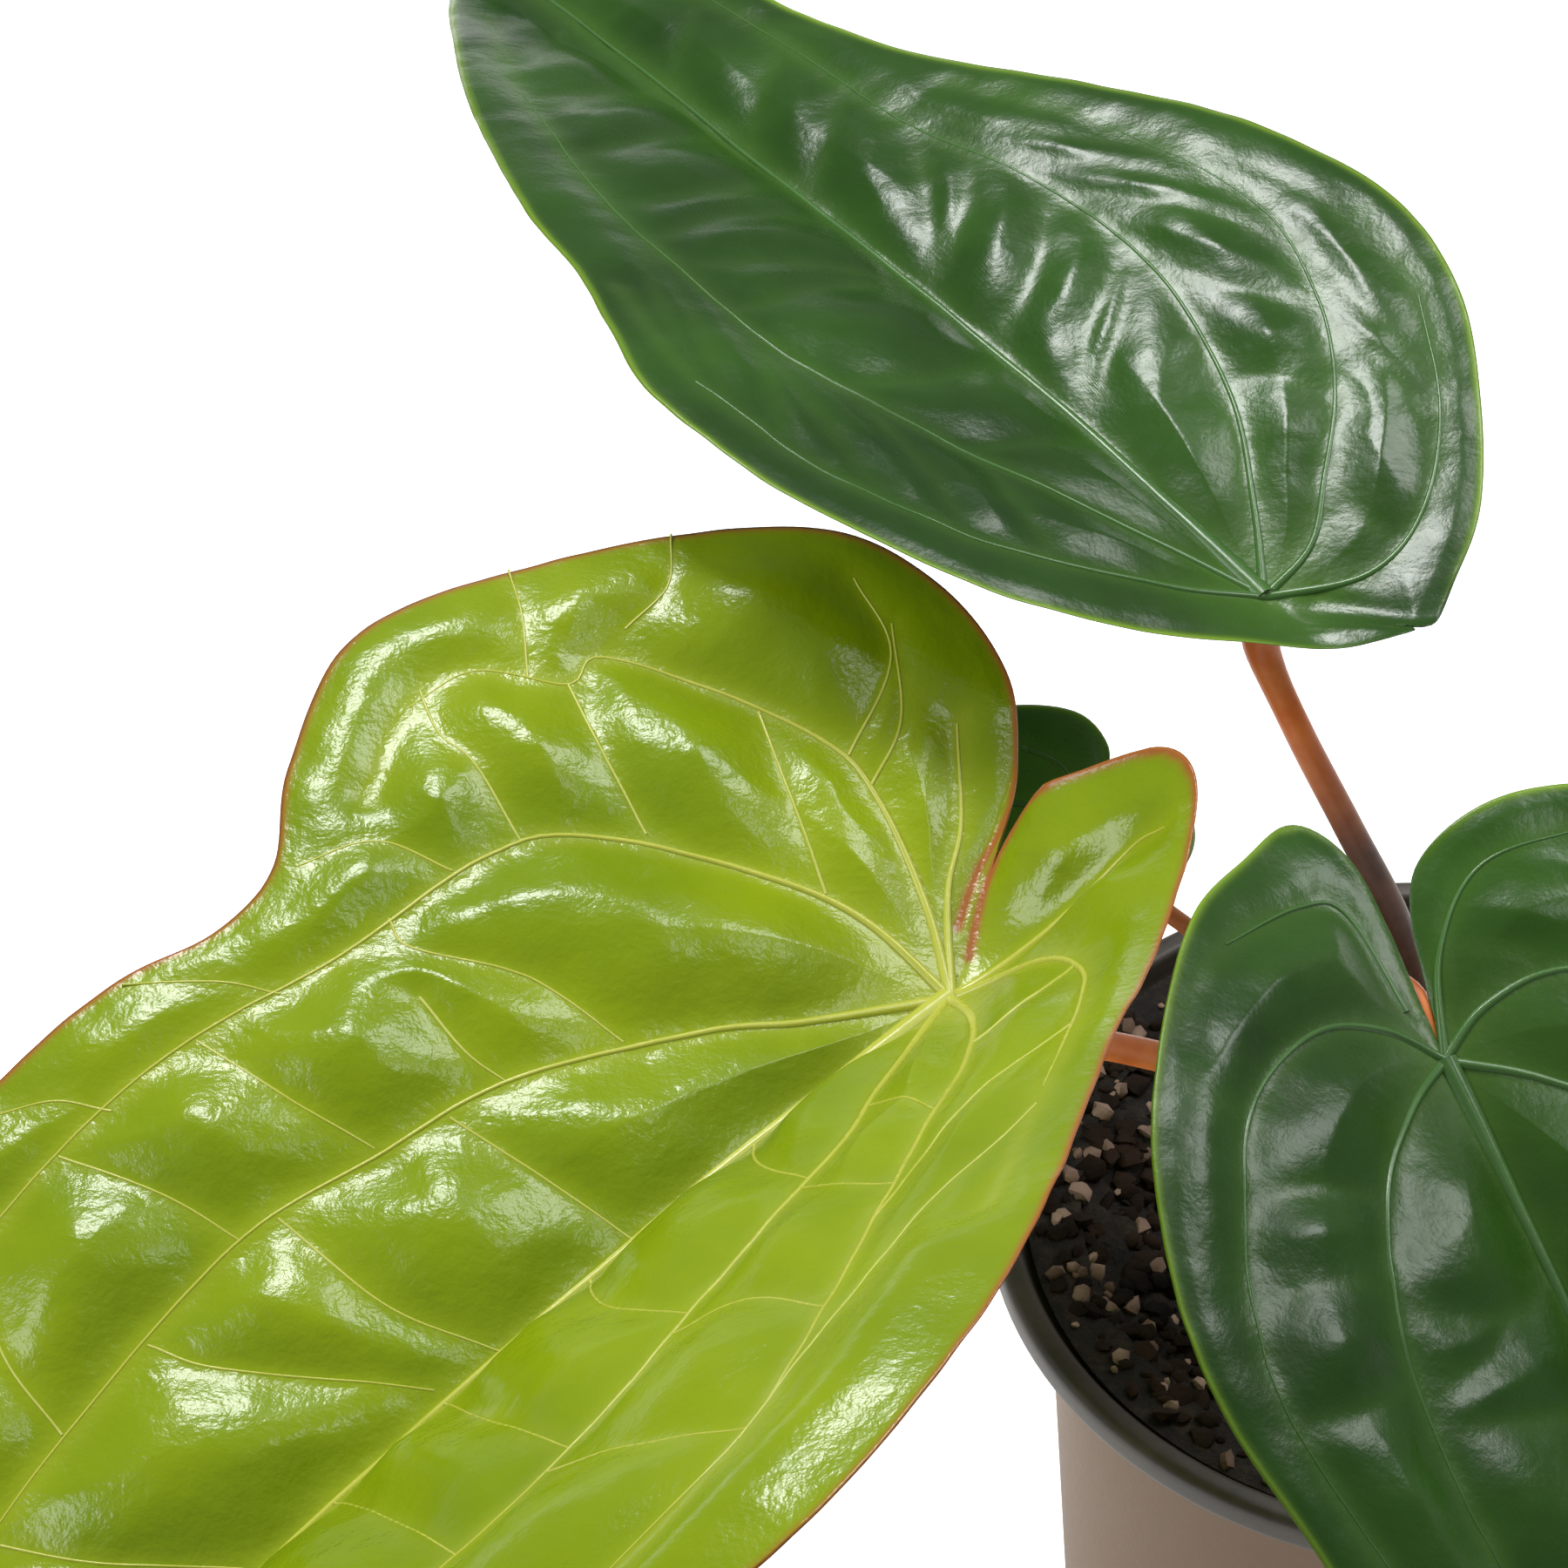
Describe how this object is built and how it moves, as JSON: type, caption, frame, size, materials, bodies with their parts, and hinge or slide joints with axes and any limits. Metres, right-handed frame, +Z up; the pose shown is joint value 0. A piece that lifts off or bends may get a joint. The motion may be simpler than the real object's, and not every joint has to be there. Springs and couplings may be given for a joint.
{
  "type": "potted anthurium",
  "caption": "Potted foliage plant with glossy heart-shaped leaves on slender stalks, in a dark nursery pot set in a plain tapered outer pot",
  "frame": {"origin": "middle of the outer pot's base, on the pot's axis, at the surface it stands on", "axes": "+Z up along the pot's axis; +X to the right and -Y towards the viewer when the young leaf points to the lower left"},
  "size_m": [0.2796, 0.3635, 0.2362],
  "materials": {
    "outer_pot": "satin",
    "inner_pot": "satin",
    "soil": "matte",
    "stem": "satin",
    "young_blade": "gloss",
    "old_blade": "gloss",
    "stalk": "satin",
    "root": "matte",
    "sheath": "matte"
  },
  "bodies": {
    "root": {"cover_pot": "outer_pot", "nursery_pot": "inner_pot", "potting_soil": "soil", "stem": "stem", "young_leaf": "young_blade", "upper_leaf": "old_blade", "front_leaf": "old_blade", "rear_leaf": "old_blade", "young_leaf_stalk": "stalk", "upper_leaf_stalk": "stalk", "front_leaf_stalk": "stalk", "rear_leaf_stalk": "stalk", "aerial_root_1": "root", "aerial_root_2": "root", "aerial_root_3": "root", "sheath_1": "sheath", "sheath_2": "sheath"}
  },
  "joints": []
}
